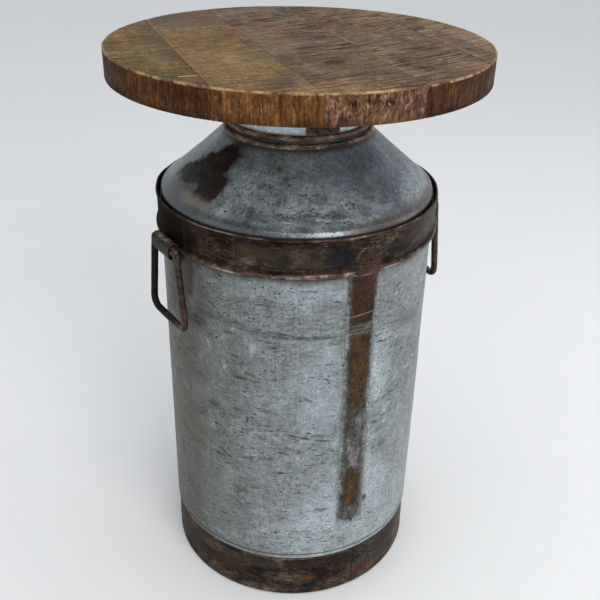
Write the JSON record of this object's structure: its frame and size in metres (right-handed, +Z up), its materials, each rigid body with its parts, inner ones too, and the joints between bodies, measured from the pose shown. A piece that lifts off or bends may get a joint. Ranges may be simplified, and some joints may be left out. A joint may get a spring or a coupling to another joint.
{
  "type": "milk can side table",
  "caption": "Side table made from an old galvanised milk can, with drop handles and a round board top that lifts off the neck.",
  "frame": {"origin": "centre of the footprint on the floor, on the can's axis", "axes": "+Z up along the can's axis; -Y is the front with the side seam a little to the right; +X to the right"},
  "size_m": [0.4, 0.3999, 0.64],
  "materials": {
    "zinc_body": "old galvanised sheet, mottled blue-grey zinc with dark scratches and stains",
    "zinc_shoulder": "darker weathered zinc, specked and smeared, fairly smooth",
    "zinc_neck": "pale galvanised sheet",
    "rusty_steel": "dark brown rusted and waxed steel with orange patches, satin",
    "handle_steel": "reddish brown worn steel rod, polished by hands, semi-gloss",
    "wood_warm": "old reclaimed board, golden brown, waxed",
    "wood_brown": "old reclaimed board, mid brown with dark streaks, waxed",
    "wood_dark": "old reclaimed board, grey brown with saw marks and knots, waxed",
    "beech": "plain pale hardwood",
    "screw_steel": "zinc plated"
  },
  "bodies": {
    "can": {"body_shell": "zinc_body", "body_seam_strap": "rusty_steel", "base_plate": "zinc_shoulder", "foot_hoop": "rusty_steel", "upper_hoop": "rusty_steel", "hoop_seam_rivet": "rusty_steel", "shoulder_cone": "zinc_shoulder", "neck_collar": "zinc_neck", "neck_ring_lower": "rusty_steel", "neck_ring_upper": "rusty_steel", "neck_seam_plate": "rusty_steel", "plate_rivet_left": "rusty_steel", "plate_rivet_right": "rusty_steel", "left_handle_bracket": "rusty_steel", "left_bracket_rivet_a": "rusty_steel", "left_bracket_rivet_b": "rusty_steel", "right_handle_bracket": "rusty_steel", "right_bracket_rivet_a": "rusty_steel", "right_bracket_rivet_b": "rusty_steel"},
    "left_handle": {"left_handle": "handle_steel"},
    "right_handle": {"right_handle": "handle_steel"},
    "top": {"top_board_1": "wood_warm", "top_board_2": "wood_warm", "top_board_3": "wood_dark", "top_board_4": "wood_brown", "top_board_5": "wood_brown", "board_dowel_1": "beech", "board_dowel_2": "beech", "board_dowel_3": "beech", "board_dowel_4": "beech", "board_dowel_5": "beech", "board_dowel_6": "beech", "board_dowel_7": "beech", "board_dowel_8": "beech", "locating_disc": "beech", "disc_screw_1": "screw_steel", "disc_screw_2": "screw_steel", "disc_screw_3": "screw_steel", "disc_screw_4": "screw_steel"}
  },
  "joints": [
    {"name": "left_handle_swing", "type": "hinge", "parent": "can", "child": "left_handle", "pos_m": [-0.13677, -0.09122, 0.451], "axis": [-0.5548, 0.832, 0], "range_deg": [-3, 180]},
    {"name": "right_handle_swing", "type": "hinge", "parent": "can", "child": "right_handle", "pos_m": [0.15449, 0.05623, 0.451], "axis": [0.342, -0.9397, 0], "range_deg": [-3, 180]},
    {"name": "top_lift", "type": "slide", "parent": "can", "child": "top", "axis": [0, 0, 1], "range_m": [0, 0.1]}
  ]
}
